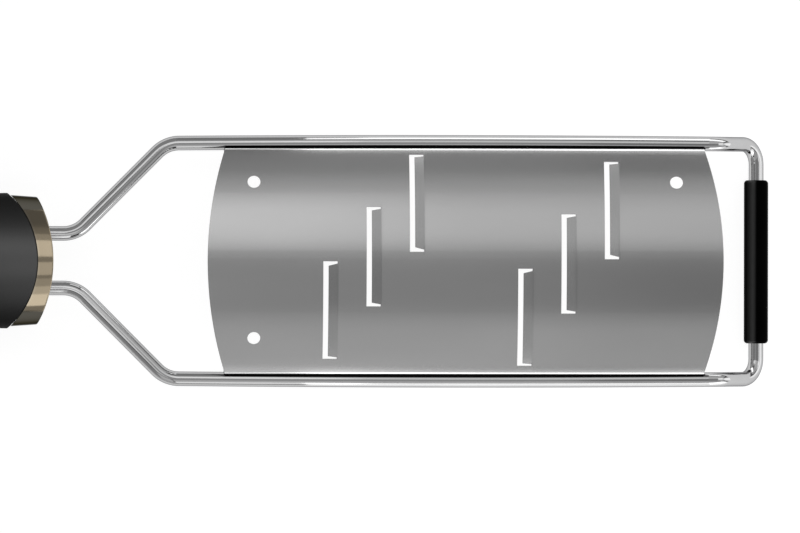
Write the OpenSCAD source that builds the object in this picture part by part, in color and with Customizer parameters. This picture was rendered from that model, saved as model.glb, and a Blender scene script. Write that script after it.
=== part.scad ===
// Hand-held shaving grater: an arched steel blade hemmed onto a bent wire frame,
// with a rubber foot on the frame's front bar and a soft grip over a two-part core.
// Millimetres. It lies on its foot and on the belly of its grip, with +X towards the foot.

/* [Handle] */
// Length from the rear end of the handle to the front of the collar
handle_l = 114; // [110:1:125]
// Width of the grip at its front lip
grip_w = 37.9; // [37:0.1:40]
// Thickness of the grip at its front lip, twice the height of the frame above the table
grip_t = 29.6; // [28:0.2:32]
// Width of the grip at its waist
waist_w = 31.4; // [29:0.2:33]
// Width of the grip at its palm swell
palm_w = 33.8; // [32:0.2:36]
// Width of the grip where its rounded tail begins
tail_w = 27; // [26:0.2:29]
// Distance from the front of the collar back to the waist
waist_back = 47; // [42:1:52]
// Distance from the front of the collar back to the middle of the palm swell
palm_back = 78; // [74:1:82]
// Length of the rounded tail
tail_l = 11.5; // [10:0.5:14]
// Wall of the soft grip over the core
grip_wall = 2.6; // [2:0.1:3]
// Distance from the front of the collar back to the tip of the grip's front edge
grip_back = 4.3; // [3.5:0.1:6]
// Radius of the grip's front edge, seen from above
grip_edge_r = 26.5; // [23:0.5:30]

/* [Collar] */
// Width of the collar where it meets the grip
collar_w = 36.8; // [36:0.1:37.4]
// Slope of the collar's sides towards its front, in degrees
collar_taper = 3.9; // [2:0.1:5]
// Radius of the collar's front edge, seen from above
collar_edge_r = 40; // [34:0.2:42]

/* [Core] */
// How far the core's nose lies behind the front of the collar
nose_recess = 0.5; // [0.3:0.1:1]
// Distance from the front of the core's nose to the centre of each flattened wire end
tang_l = 36; // [30:1:40]
// Diameter of each flattened wire end
tang_d = 7; // [6:0.2:8]
// Thickness of each flattened wire end
tang_t = 2; // [1.6:0.1:2.6]
// Diameter of the pegs that locate the two halves of the core
peg_d = 3; // [2.4:0.2:3.4]
// Height of the pegs above the split
peg_l = 3.6; // [3:0.2:4.4]
// Depth of the hollows in each half of the core
hollow_depth = 7; // [5:0.5:8]
// Width of the hollows in the core
hollow_w = 14; // [12:0.5:16]
// Length of each hollow
hollow_l = 13; // [11:0.5:14]
// Rib between two hollows
rib_t = 2.4; // [2:0.2:3]

/* [Hanging eyelet] */
// Bore of the eyelet through the tail
eyelet_d = 9; // [7:0.5:10]
// Wall of the eyelet
eyelet_wall = 1.6; // [1.2:0.1:2]
// Distance from the rear end of the handle to the eyelet's centre
eyelet_inset = 13.5; // [12.5:0.5:15]
// How far the eyelet's ends lie below the grip's surface at their rim
eyelet_sink = 0.3; // [0.2:0.1:1]

/* [Wire frame] */
// Diameter of the wire
wire_d = 4.15; // [3.6:0.05:4.4]
// Width of the frame between the middles of its two rails
frame_w = 66.5; // [62:0.5:70]
// Width between the two wires where they leave the collar
neck_w = 15.4; // [14:0.1:17]
// Length of straight wire from the collar to the corner of the neck bend
neck_l = 6.7; // [5.5:0.1:8]
// Angle at which the neck wires spread, in degrees
neck_angle = 45.4; // [40:0.2:50]
// Length of the rails from the neck's corner to the leg's corner
rail_l = 154.5; // [151:0.1:165]
// Slope of the two front legs below the rails, in degrees
leg_angle = 45; // [42:1:50]
// Bend radius at the neck, at the middle of the wire
neck_bend_r = 8.5; // [7:0.5:10]
// Bend radius where a rail turns down into its leg
leg_bend_r = 7; // [5:0.5:8]
// Bend radius where a leg turns into the front bar
corner_bend_r = 5.8; // [5:0.2:6.4]

/* [Foot] */
// Outer diameter of the rubber foot
foot_d = 6.8; // [6.2:0.1:7.4]
// Length of the rubber foot
foot_l = 45.8; // [38:0.2:50]
// Radius of the foot's rounded ends
foot_round = 1; // [0.6:0.1:1.1]

/* [Blade] */
// Length of the blade along its two hems
blade_l = 134.8; // [132:0.1:137]
// Distance from the neck's corner to the blade
blade_setback = 16; // [13:0.1:17]
// How far each end of the blade bows out past its corners
blade_bow = 4.75; // [3:0.25:5]
// Thickness of the sheet
sheet_t = 0.5; // [0.4:0.05:0.6]
// Radius of the blade's arch, at its upper face
arch_r = 75; // [70:1:90]
// Inner radius of the fold between the arch and each hem
fold_r = 0.8; // [0.4:0.1:1]
// Where the hem's fold lies on the wire, in degrees up from the outer side
fold_angle = 141; // [136:1:144]
// Where the hem ends under the wire, in degrees up from the outer side
hem_end_angle = 308; // [290:1:320]
// Diameter of the tooling holes
hole_d = 3.6; // [3:0.1:4]
// Distance from a corner line of the blade to a tooling hole
hole_inset = 8.3; // [8:0.1:10]
// Distance of the tooling holes from the middle line of the etched pattern
hole_side = 22; // [20:0.1:23]
// How far the etched pattern of holes and cutters lies to one side of the frame's middle line
etch_offset = 0.3; // [0:0.1:0.5]

/* [Cutters] */
// Cutters in each of the two groups
cutters_per_group = 3; // [2:1:3]
// Length of a cutter's opening, across the blade
cutter_l = 27.9; // [24:0.1:28.4]
// Length of a cutter along the blade, from its slit to the ends of its side slits
cutter_run = 3.95; // [3.4:0.05:4.6]
// Width of a cutter's slit
slit_w = 1.4; // [1.2:0.05:1.9]
// Width of a side slit at its closed end
side_slit_end_w = 0.5; // [0.4:0.05:0.8]
// Width of a side slit beside the cutting edge
side_slit_edge_w = 1.1; // [0.9:0.05:1.4]
// Height of the cutting edge above the blade
cutter_lift = 1; // [0.6:0.1:1.4]
// Length of the ground bevel behind the cutting edge
bevel_l = 0.55; // [0.4:0.05:0.8]
// Thickness left at the cutting edge
edge_t = 0.12; // [0.08:0.02:0.2]
// Distance from the blade's corner line to the first slit
first_slit = 27.6; // [24:0.2:30]
// Step from one cutter to the next along the blade
cutter_step = 12.1; // [11:0.1:13]
// Step from one cutter to the next across the blade, along its arch
cutter_side_step = 15.4; // [14.5:0.05:15.5]
// Step from the first group of cutters to the second along the blade
group_step = 54.5; // [50:0.5:56]
// How far the second group lies to the side of the first, along the arch
group_side_step = 2; // [1:0.1:2.2]

/* [Hidden] */

// Colours as the photograph shows them
steel_blade = [0.58, 0.58, 0.58];
steel_wire = [0.8, 0.8, 0.81];
bronze = [0.58, 0.52, 0.43];
black_rubber = [0.06, 0.06, 0.06];
black_grip = [0.2, 0.2, 0.2];
black_core = [0.12, 0.12, 0.12];

// Clearances
wire_gap = 0.05;      // wire in the core, the hem and the foot
seam_gap = 0.05;      // between the core, the collar and the grip
peg_gap = 0.1;        // peg in its hole, on the radius
tang_gap = 0.2;       // flattened wire end in its pocket
overrun = 1;          // how far a cut runs past the face that it opens

// Bends of the wire
bend_swell = 0.02;    // how much thicker the wire is in a bend
bend_lap = 0.2;       // how far a straight run reaches into a bend

// Fineness of the drawing
$fn = 96;
curve_steps = 7;      // bands between two widths of the grip
tail_steps = 9;       // bands in the rounded tail
arch_steps = 36;      // flats across the blade's arch
hem_steps = 16;       // flats round a hem
fold_steps = 6;       // flats round a fold

// Heights above the table
wire_z = grip_t / 2;
bar_drop = wire_z - foot_d / 2;
oval = grip_t / grip_w;    // thickness over width of the handle

// Places along X from the front of the collar
neck_corner = neck_l;
rail_start = neck_corner + (frame_w - neck_w) / 2 / tan(neck_angle);
rail_end = rail_start + rail_l;
bar_x = rail_end + bar_drop / tan(leg_angle);
tang_x = -nose_recess - tang_l;
blade_start = rail_start + blade_setback;
blade_end = blade_start + blade_l;
front_x = bar_x + foot_d / 2;
middle_x = (front_x - handle_l) / 2;

// Grip
grip_r = grip_w / 2;
grip_lip_x = -grip_back - grip_edge_r + sqrt(pow(grip_edge_r, 2) - pow(grip_r, 2));
tail_x = tail_l - handle_l;
grip_knots = [
    [grip_lip_x, grip_r],
    [-waist_back, waist_w / 2],
    [-palm_back, palm_w / 2],
    [tail_x, tail_w / 2]
];

// Collar and core
collar_rear_x = grip_lip_x;
nose_r = grip_r - grip_wall - seam_gap;
hollow_start = tang_x - tang_d / 2 - rib_t;
hollow_count = 3;
peg_places = [
    [tang_x / 3, 0],
    [tang_x, 0],
    [hollow_start - hollow_count * (hollow_l + rib_t), hollow_w / 4],
    [hollow_start - hollow_count * (hollow_l + rib_t), -hollow_w / 4]
];

// Eyelet
eyelet_x = eyelet_inset - handle_l;
eyelet_r = eyelet_d / 2 + eyelet_wall;
eyelet_rim_z = oval * sqrt(pow(tail_half_w(eyelet_x), 2) - pow(eyelet_r, 2));
eyelet_half_l = eyelet_rim_z - eyelet_sink;

// Blade
hem_r = wire_d / 2 + wire_gap;
fold_y = frame_w / 2 + (hem_r + sheet_t + fold_r) * cos(fold_angle);
fold_z = (hem_r + sheet_t + fold_r) * sin(fold_angle);
arch_inner_r = arch_r - sheet_t;
arch_z = wire_z + fold_z - sqrt(pow(arch_inner_r - fold_r, 2) - pow(fold_y, 2));
arch_half_angle = asin(fold_y / (arch_inner_r - fold_r));
blade_end_r = (pow(fold_y, 2) + pow(blade_bow, 2)) / (2 * blade_bow);
hole_places = [
    [blade_start + hole_inset, etch_offset + hole_side],
    [blade_start + hole_inset, etch_offset - hole_side],
    [blade_end - hole_inset, etch_offset + hole_side]
];

// Step from one number to the next along a smooth half wave
function ease(a, b, share) = a + (b - a) * (1 - cos(180 * share)) / 2;

// Half width of the grip at the knots' bands, from the front lip back to the tail, as [x, half width]
grip_waves = [
    for (k = [0 : len(grip_knots) - 2])
        for (i = [0 : curve_steps - 1])
            let (share = i / curve_steps)
            [
                grip_knots[k].x + (grip_knots[k + 1].x - grip_knots[k].x) * share,
                ease(grip_knots[k].y, grip_knots[k + 1].y, share)
            ]
];

// Half width of the grip at a place in its last stretch
function tail_half_w(x) = x > tail_x
    ? ease(palm_w / 2, tail_w / 2, (palm_back + x) / (palm_back + tail_x))
    : tail_w / 2 * sqrt(1 - pow((tail_x - x) / tail_l, 2));

// The rounded tail, a quarter of an ellipse drawn in by inset
function tail_curve(inset) = [
    for (i = [0 : tail_steps])
        let (turn = 90 * i / tail_steps)
        [tail_x - (tail_l - inset) * sin(turn), (tail_w / 2 - inset) * cos(turn)]
];

// Outline of the grip, or of something inset from it, as [half width, x] for turning
function grip_outline(inset, front) = concat(
    [[0, front], [grip_r - inset, front]],
    [for (p = grip_waves) [p.y - inset, p.x]],
    [for (p = tail_curve(inset)) [p.y, p.x]]
);

// Turns a child's sketch, drawn as [half width, x], about the handle's line and flattens it to an oval
module oval_turn() {
    translate([0, 0, wire_z])
        scale([1, 1, oval])
            rotate([90, 0, 90])
                rotate_extrude()
                    children();
}

// Everything behind an upright round edge whose foremost line is at front
module behind_edge(front, r) {
    centre = front - r;
    translate([centre, 0, -overrun])
        cylinder(r = r, h = grip_t + 2 * overrun);
    translate([centre - handle_l, -grip_w, -overrun])
        cube([handle_l, 2 * grip_w, grip_t + 2 * overrun]);
}

// One bend of a rod that lies along Z at the origin, towards +X
module bend(angle, r, d) {
    translate([r, 0, 0])
        rotate([90, 0, 180])
            rotate_extrude(angle = angle)
                translate([r, 0])
                    circle(d = d);
}

// Rod along Z, then turned, bent and carried on, run by run; a run is [length, turn before the bend,
// bend angle, bend radius], and a bend angle of 0 ends the rod. Each bend is a hair thicker than the
// rod and takes in the ends of the runs beside it.
module bent_rod(runs, d, i = 0) {
    run = runs[i];
    before = i > 0 ? bend_lap : 0;
    after = run[2] > 0 ? bend_lap : 0;
    translate([0, 0, -before])
        cylinder(d = d, h = run[0] + before + after);
    if (run[2] > 0)
        translate([0, 0, run[0]])
            rotate([0, 0, run[1]]) {
                bend(run[2], run[3], d + bend_swell);
                translate([run[3], 0, 0])
                    rotate([0, run[2], 0])
                        translate([-run[3], 0, 0])
                            bent_rod(runs, d, i + 1);
            }
}

// Length that a bend takes from the straight run on each side of its corner
function setback(angle, r) = r * tan(angle / 2);

// The frame is one wire, from one flattened end round the front bar to the other
module wire_frame() {
    leg_l = bar_drop / sin(leg_angle);
    slant_l = (frame_w - neck_w) / 2 / sin(neck_angle);
    neck_setback = setback(neck_angle, neck_bend_r);
    leg_setback = setback(leg_angle, leg_bend_r);
    runs = [
        [frame_w / 2 - corner_bend_r, 0, 90, corner_bend_r],
        [leg_l - corner_bend_r - leg_setback, -90, leg_angle, leg_bend_r],
        [rail_l - leg_setback - neck_setback, 90, neck_angle, neck_bend_r],
        [slant_l - 2 * neck_setback, 180, neck_angle, neck_bend_r],
        [neck_corner - tang_x - neck_setback, 0, 0, 0]
    ];
    color(steel_wire)
        for (side = [0, 1])
            mirror([0, side, 0]) {
                translate([bar_x, 0, wire_z - bar_drop])
                    rotate([0, leg_angle, 0])
                        rotate([90, 0, 180])
                            bent_rod(runs, wire_d);
                translate([tang_x, neck_w / 2, wire_z - tang_t / 2])
                    cylinder(d = tang_d, h = tang_t);
            }
}

// Points of an arc round a centre, from one angle to another, less the first and last few
function arc(centre, r, from, to, steps, skipped = 0) = [
    for (i = [skipped : steps - skipped])
        let (angle = from + (to - from) * i / steps)
        centre + r * [cos(angle), sin(angle)]
];

function mirrored(points) = [for (p = points) [-p.x, p.y]];

function backwards(points) = [for (i = [len(points) - 1 : -1 : 0]) points[i]];

// Cross section of the sheet, as [y, z]: the arch, and at each side a fold and a hem that cups the rail
module blade_section() {
    wire_middle = [frame_w / 2, wire_z];
    fold_middle = [fold_y, wire_z + fold_z];
    arch_middle = [0, arch_z];
    arch_end = 90 - arch_half_angle;
    fold_end = fold_angle - 180;
    upper_side = concat(
        arc(fold_middle, fold_r + sheet_t, arch_end, fold_end, fold_steps, 1),
        arc(wire_middle, hem_r, fold_angle, hem_end_angle, hem_steps)
    );
    lower_side = concat(
        arc(wire_middle, hem_r + sheet_t, hem_end_angle, fold_angle, hem_steps),
        arc(fold_middle, fold_r, fold_end, arch_end, fold_steps, 1)
    );
    polygon(concat(
        upper_side,
        lower_side,
        arc(arch_middle, arch_inner_r, arch_end, 180 - arch_end, arch_steps),
        backwards(mirrored(lower_side)),
        backwards(mirrored(upper_side)),
        arc(arch_middle, arch_r, 180 - arch_end, arch_end, arch_steps)
    ));
}

// The blade's outline from above: both ends bow out in a round arc
module blade_plan() {
    intersection() {
        translate([blade_start - blade_bow + blade_end_r, 0, 0])
            cylinder(r = blade_end_r, h = arch_z + 2 * arch_r);
        translate([blade_end + blade_bow - blade_end_r, 0, 0])
            cylinder(r = blade_end_r, h = arch_z + 2 * arch_r);
    }
}

// Angle at the arch's axis of a length along the arch
function arch_turn(along) = 180 / PI * along / arch_r;

// Places a child at each cutter: x at its slit, and z outward from the arch's axis through its middle
module at_cutters() {
    for (group = [0, 1])
        for (i = [0 : cutters_per_group - 1]) {
            group_along = etch_offset + group_side_step * (1 / 2 - group);
            along = group_along + (i - (cutters_per_group - 1) / 2) * cutter_side_step;
            translate([blade_start + first_slit + group * group_step + i * cutter_step, 0, arch_z])
                rotate([-arch_turn(along), 0, 0])
                    children();
        }
}

// Opening in the sheet for one cutter, its slit and its two side slits together
module cutter_window() {
    translate([0, -cutter_l / 2, arch_inner_r - overrun])
        cube([cutter_run, cutter_l, sheet_t + 2 * overrun]);
}

// The tongue of one cutter, from its root within the sheet up to its ground edge
module cutter_tongue() {
    root = cutter_run + side_slit_end_w;
    sink = sheet_t / 5;
    rise = (cutter_lift + sink) / (root - slit_w);
    half_edge = cutter_l / 2 - side_slit_edge_w;
    half_root = cutter_l / 2 - side_slit_end_w;
    reach = asin(cutter_l / 2 / arch_inner_r);
    intersection() {
        rotate([90, 0, 90])
            rotate([0, 0, 90 - reach])
                rotate_extrude(angle = 2 * reach)
                    polygon([
                        [arch_inner_r + sink, root],
                        [arch_r - sink, root],
                        [arch_r + cutter_lift - rise * bevel_l, slit_w + bevel_l],
                        [arch_inner_r + cutter_lift + edge_t, slit_w],
                        [arch_inner_r + cutter_lift, slit_w]
                    ]);
        translate([0, 0, arch_inner_r - overrun])
            linear_extrude(sheet_t + cutter_lift + 2 * overrun)
                polygon([
                    [slit_w, -half_edge],
                    [cutter_run, -half_root],
                    [root + overrun, -half_root],
                    [root + overrun, half_root],
                    [cutter_run, half_root],
                    [slit_w, half_edge]
                ]);
    }
}

// The blade is one etched sheet: arch, hems, cutters and tooling holes
module shaver_blade() {
    color(steel_blade) {
        difference() {
            intersection() {
                translate([blade_start - blade_bow, 0, 0])
                    rotate([90, 0, 90])
                        linear_extrude(blade_l + 2 * blade_bow)
                            blade_section();
                blade_plan();
            }
            at_cutters()
                cutter_window();
            for (place = hole_places)
                translate([place.x, 0, arch_z])
                    rotate([-asin(place.y / arch_r), 0, 0])
                        translate([0, 0, arch_inner_r - overrun])
                            cylinder(d = hole_d, h = sheet_t + 2 * overrun);
        }
        at_cutters()
            cutter_tongue();
    }
}

// Rubber tube over the front bar, with rounded ends
module foot_sleeve() {
    color(black_rubber)
        translate([bar_x, 0, wire_z - bar_drop])
            rotate([90, 0, 0])
                rotate_extrude()
                    difference() {
                        for (end = [0, 1])
                            mirror([0, end]) {
                                square([foot_d / 2 - foot_round, foot_l / 2]);
                                square([foot_d / 2, foot_l / 2 - foot_round]);
                                translate([foot_d / 2 - foot_round, foot_l / 2 - foot_round])
                                    circle(r = foot_round);
                            }
                        translate([0, -foot_l / 2 - overrun])
                            square([wire_d / 2 + wire_gap, foot_l + 2 * overrun]);
                    }
}

// Tapered oval ring between the grip's edge and its own rounder front edge
module collar() {
    front_r = collar_w / 2 + collar_rear_x * tan(collar_taper);
    color(bronze)
        for (side = [-1, 1])
            difference() {
                intersection() {
                    oval_turn()
                        polygon([
                            [nose_r + seam_gap, collar_rear_x],
                            [collar_w / 2, collar_rear_x],
                            [front_r, 0],
                            [nose_r + seam_gap, 0]
                        ]);
                    behind_edge(0, collar_edge_r);
                    half_space(side);
                }
                behind_edge(seam_gap - grip_back, grip_edge_r + seam_gap);
            }
}

// The whole core before it is split, out to the inside of the grip
module core_body() {
    intersection() {
        oval_turn()
            polygon(grip_outline(grip_wall + seam_gap, 0));
        behind_edge(-nose_recess, collar_edge_r);
    }
}

// Channels and pockets for the two wires and their flattened ends
module wire_seats() {
    for (side = [-1, 1])
        translate([tang_x, side * neck_w / 2, wire_z]) {
            rotate([0, 90, 0])
                cylinder(d = wire_d + 2 * wire_gap, h = tang_l + collar_edge_r);
            translate([0, 0, -tang_t / 2 - tang_gap])
                cylinder(d = tang_d + 2 * tang_gap, h = tang_t + 2 * tang_gap);
        }
}

// Row of hollows on one side of the split
module hollows(side) {
    for (i = [0 : hollow_count - 1])
        translate([
            hollow_start - i * (hollow_l + rib_t) - hollow_l,
            -hollow_w / 2,
            side > 0 ? wire_z - overrun : wire_z - hollow_depth
        ])
            cube([hollow_l, hollow_w, hollow_depth + overrun]);
}

// Everything above or below the split
module half_space(side) {
    translate([-handle_l, -grip_w, side > 0 ? wire_z : -overrun])
        cube([2 * handle_l, 2 * grip_w, wire_z + overrun]);
}

// Upper half of the core, with holes for the pegs and for the eyelet
module core_upper() {
    color(black_core)
        difference() {
            intersection() {
                core_body();
                half_space(1);
            }
            wire_seats();
            hollows(1);
            for (place = peg_places)
                translate([place.x, place.y, wire_z - overrun])
                    cylinder(d = peg_d + 2 * peg_gap, h = peg_l + peg_gap + overrun);
            translate([eyelet_x, 0, 0])
                cylinder(r = eyelet_r + seam_gap, h = grip_t);
        }
}

// Lower half of the core, with the pegs and the eyelet that runs up through the tail
module core_lower() {
    color(black_core)
        difference() {
            union() {
                difference() {
                    intersection() {
                        core_body();
                        half_space(-1);
                    }
                    wire_seats();
                    hollows(-1);
                }
                for (place = peg_places)
                    translate([place.x, place.y, wire_z - peg_l])
                        cylinder(d = peg_d, h = 2 * peg_l);
                translate([eyelet_x, 0, wire_z - eyelet_half_l])
                    cylinder(r = eyelet_r, h = 2 * eyelet_half_l);
            }
            translate([eyelet_x, 0, -overrun])
                cylinder(d = eyelet_d, h = grip_t + 2 * overrun);
        }
}

// Soft grip, moulded over the core
module grip_sleeve() {
    color(black_grip)
        for (side = [-1, 1])
            difference() {
                intersection() {
                    oval_turn()
                        polygon(grip_outline(0, 0));
                    behind_edge(-grip_back, grip_edge_r);
                    half_space(side);
                }
                oval_turn()
                    polygon(grip_outline(grip_wall, overrun));
                translate([eyelet_x, 0, -overrun])
                    cylinder(r = eyelet_r + seam_gap, h = grip_t + 2 * overrun);
            }
}

// Puts the middle of the whole length at the origin
module centred() {
    translate([-middle_x, 0, 0])
        children();
}

centred() wire_frame();
centred() shaver_blade();
centred() foot_sleeve();
centred() collar();
centred() core_upper();
centred() core_lower();
centred() grip_sleeve();
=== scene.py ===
import bmesh
import bpy
import numpy as np
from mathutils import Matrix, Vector


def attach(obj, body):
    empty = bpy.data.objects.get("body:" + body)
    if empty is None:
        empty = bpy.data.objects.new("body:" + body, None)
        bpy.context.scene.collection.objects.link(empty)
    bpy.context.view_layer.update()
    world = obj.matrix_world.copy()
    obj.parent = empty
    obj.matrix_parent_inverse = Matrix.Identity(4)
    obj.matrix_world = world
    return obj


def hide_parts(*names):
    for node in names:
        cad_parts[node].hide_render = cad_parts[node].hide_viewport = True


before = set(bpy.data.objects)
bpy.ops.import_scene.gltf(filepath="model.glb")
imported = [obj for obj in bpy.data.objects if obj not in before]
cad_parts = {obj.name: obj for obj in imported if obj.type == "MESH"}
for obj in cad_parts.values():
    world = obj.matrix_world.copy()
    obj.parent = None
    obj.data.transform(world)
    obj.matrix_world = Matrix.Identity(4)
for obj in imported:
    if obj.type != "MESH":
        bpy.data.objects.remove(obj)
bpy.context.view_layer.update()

print("frame loaded:", ", ".join(sorted(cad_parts)))

# Lengths in the dictionaries of the pieces are in millimetres, and those of the studio in metres.
millimetre = 0.001
lineHeight = 14.8    # the middle of the rails and of the handle
hair = 0.01          # slack when a place is compared with a row of points


# Helpers for meshes

def gridFaces(rows, columns, roundColumns=False):
    # corner numbers of each cell of a rows x columns grid of points, joined round if the columns close
    row = np.arange(rows - 1)[:, None]
    column = np.arange(columns if roundColumns else columns - 1)[None, :]
    nextColumn = (column + 1) % columns
    corners = (row * columns + column, (row + 1) * columns + column,
               (row + 1) * columns + nextColumn, row * columns + nextColumn)
    return np.stack(np.broadcast_arrays(*corners), -1).reshape(-1, 4)


def wallFaces(faces, count):
    # a quad from each free edge of the faces to the same edge of a second skin, count points further on
    start, end = faces.ravel(), np.roll(faces, -1, axis=1).ravel()
    free = ~np.isin(end * count + start, start * count + end)
    start, end = start[free], end[free]
    return np.stack([end, start, start + count, end + count], -1)


def shellFaces(faces, count):
    # outer skin, inner skin turned over, and the walls between them
    return np.concatenate([faces, faces[:, ::-1] + count, wallFaces(faces, count)])


def makePiece(name, points, faces, node, creaseAngle=40):
    # points are in millimetres; doubles at poles and seams are merged and the faces turned outward
    mesh = bpy.data.meshes.new(name)
    mesh.from_pydata((np.reshape(points, (-1, 3)) * millimetre).tolist(), [], faces.tolist())
    work = bmesh.new()
    work.from_mesh(mesh)
    bmesh.ops.remove_doubles(work, verts=work.verts, dist=1e-6)
    loose = [v for v in work.verts if not v.link_faces]
    bmesh.ops.delete(work, geom=loose, context="VERTS")
    bmesh.ops.recalc_face_normals(work, faces=work.faces)
    work.to_mesh(mesh)
    work.free()
    mesh.shade_smooth()
    mesh.set_sharp_from_angle(angle=np.radians(creaseAngle))
    piece = bpy.data.objects.new(name, mesh)
    bpy.context.scene.collection.objects.link(piece)
    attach(piece, "root")
    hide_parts(node)
    return piece


def softenEdges(piece, width, segments, angle):
    # small rounding on the cut edges
    bevel = piece.modifiers.new("softEdges", "BEVEL")
    bevel.width = width * millimetre
    bevel.segments = segments
    bevel.limit_method = "ANGLE"
    bevel.angle_limit = np.radians(angle)
    bevel.use_clamp_overlap = False
    bevel.harden_normals = True


def dividedLines(marks, step):
    # every mark, and even steps no longer than step between one mark and the next
    marks = np.unique(np.round(marks, 3))
    parts = [np.linspace(a, b, int(np.ceil((b - a) / step)), endpoint=False)
             for a, b in zip(marks[:-1], marks[1:])]
    return np.concatenate(parts + [marks[-1:]])


def squareToRing(across, along, ringReach):
    # across and along run from -1 to 1 over a square hole; returns how far round each point is pulled,
    # 1 at the hole and 0 at ringReach, and its place on a circle that is as wide as its own square
    size = np.maximum(np.abs(across), np.abs(along))
    pull = np.clip((ringReach - size) / (ringReach - 1), 0, 1)
    length = np.maximum(np.hypot(across, along), 1e-9)
    return pull, across / length * size, along / length * size


# Helpers for materials

def addNode(tree, kind, **settings):
    # a node with its own properties set
    made = tree.nodes.new(kind)
    for key, value in settings.items():
        setattr(made, key, value)
    return made


def setInputs(made, **values):
    # socket names are given with underscores for spaces
    for key, value in values.items():
        made.inputs[key.replace("_", " ")].default_value = value
    return made


def mathNode(tree, operation, first, second=None, clamp=False):
    # each operand is a socket or a number
    made = addNode(tree, "ShaderNodeMath", operation=operation, use_clamp=clamp)
    for socket, value in zip(made.inputs, (first, second)):
        if isinstance(value, (int, float)):
            socket.default_value = value
        elif value is not None:
            tree.links.new(value, socket)
    return made.outputs[0]


def rangeNode(tree, value, fromLow, fromHigh, toLow, toHigh, smooth=False):
    # value goes from the first range to the second, in a straight line or as a smooth step
    made = addNode(tree, "ShaderNodeMapRange", interpolation_type="SMOOTHSTEP" if smooth else "LINEAR")
    tree.links.new(value, made.inputs["Value"])
    for key, number in (("From Min", fromLow), ("From Max", fromHigh), ("To Min", toLow), ("To Max", toHigh)):
        if isinstance(number, (int, float)):
            made.inputs[key].default_value = number
        else:
            tree.links.new(number, made.inputs[key])
    return made.outputs["Result"]


def mixColours(tree, share, first, second):
    # share is a socket; each colour is a socket or three numbers
    made = addNode(tree, "ShaderNodeMix", data_type="RGBA")
    for socket, value in zip((made.inputs[0], made.inputs[6], made.inputs[7]), (share, first, second)):
        if isinstance(value, tuple):
            socket.default_value = (*value, 1)
        else:
            tree.links.new(value, socket)
    return made.outputs[2]


def newGroup(name, inputs, outputs):
    # inputs are (name, socket kind, value), outputs (name, socket kind)
    tree = bpy.data.node_groups.new(name, "ShaderNodeTree")
    for label, kind, value in inputs:
        socket = tree.interface.new_socket(label, in_out="INPUT", socket_type=kind)
        if value is not None:
            socket.default_value = value
    for label, kind in outputs:
        tree.interface.new_socket(label, in_out="OUTPUT", socket_type=kind)
    return tree, addNode(tree, "NodeGroupInput"), addNode(tree, "NodeGroupOutput")


def useGroup(tree, group, **values):
    # places a group in a tree; each input is a socket or a value
    made = addNode(tree, "ShaderNodeGroup", node_tree=group)
    for key, value in values.items():
        socket = made.inputs[key.replace("_", " ")]
        if isinstance(value, bpy.types.NodeSocket):
            tree.links.new(value, socket)
        else:
            socket.default_value = value
    return made


# Fine grain drawn out along one direction, as brushing and wire drawing leave it
drawnGrain, groupIn, groupOut = newGroup(
    "drawnGrain",
    [("Vector", "NodeSocketVector", None), ("Stretch", "NodeSocketVector", (1, 1, 1)),
     ("Fine", "NodeSocketFloat", 1.0), ("Broad", "NodeSocketFloat", 0.1)],
    [("Grain", "NodeSocketFloat"), ("Clouds", "NodeSocketFloat")])
stretched = addNode(drawnGrain, "ShaderNodeVectorMath", operation="MULTIPLY")
drawnGrain.links.new(groupIn.outputs["Vector"], stretched.inputs[0])
drawnGrain.links.new(groupIn.outputs["Stretch"], stretched.inputs[1])
fineNoise = setInputs(addNode(drawnGrain, "ShaderNodeTexNoise"), Detail=4.0, Roughness=0.6)
drawnGrain.links.new(stretched.outputs[0], fineNoise.inputs["Vector"])
drawnGrain.links.new(groupIn.outputs["Fine"], fineNoise.inputs["Scale"])
broadNoise = setInputs(addNode(drawnGrain, "ShaderNodeTexNoise"), Detail=3.0, Roughness=0.5)
drawnGrain.links.new(stretched.outputs[0], broadNoise.inputs["Vector"])
drawnGrain.links.new(groupIn.outputs["Broad"], broadNoise.inputs["Scale"])
drawnGrain.links.new(fineNoise.outputs["Fac"], groupOut.inputs["Grain"])
drawnGrain.links.new(broadNoise.outputs["Fac"], groupOut.inputs["Clouds"])

# Even pebbled skin of a moulded part: small cells with softer clouds over them
mouldedSkin, groupIn, groupOut = newGroup(
    "mouldedSkin",
    [("Vector", "NodeSocketVector", None), ("Pebble", "NodeSocketFloat", 4000.0),
     ("Cloud", "NodeSocketFloat", 90.0)],
    [("Height", "NodeSocketFloat"), ("Clouds", "NodeSocketFloat"), ("Specks", "NodeSocketFloat")])
pebbles = setInputs(addNode(mouldedSkin, "ShaderNodeTexNoise"), Detail=3.0, Roughness=0.7)
mouldedSkin.links.new(groupIn.outputs["Vector"], pebbles.inputs["Vector"])
mouldedSkin.links.new(groupIn.outputs["Pebble"], pebbles.inputs["Scale"])
clouds = setInputs(addNode(mouldedSkin, "ShaderNodeTexNoise"), Detail=4.0, Roughness=0.55)
mouldedSkin.links.new(groupIn.outputs["Vector"], clouds.inputs["Vector"])
mouldedSkin.links.new(groupIn.outputs["Cloud"], clouds.inputs["Scale"])
mouldedSkin.links.new(pebbles.outputs["Fac"], groupOut.inputs["Height"])
mouldedSkin.links.new(clouds.outputs["Fac"], groupOut.inputs["Clouds"])
mouldedSkin.links.new(rangeNode(mouldedSkin, pebbles.outputs["Fac"], 0.56, 0.72, 0.0, 1.0, True),
                      groupOut.inputs["Specks"])

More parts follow.
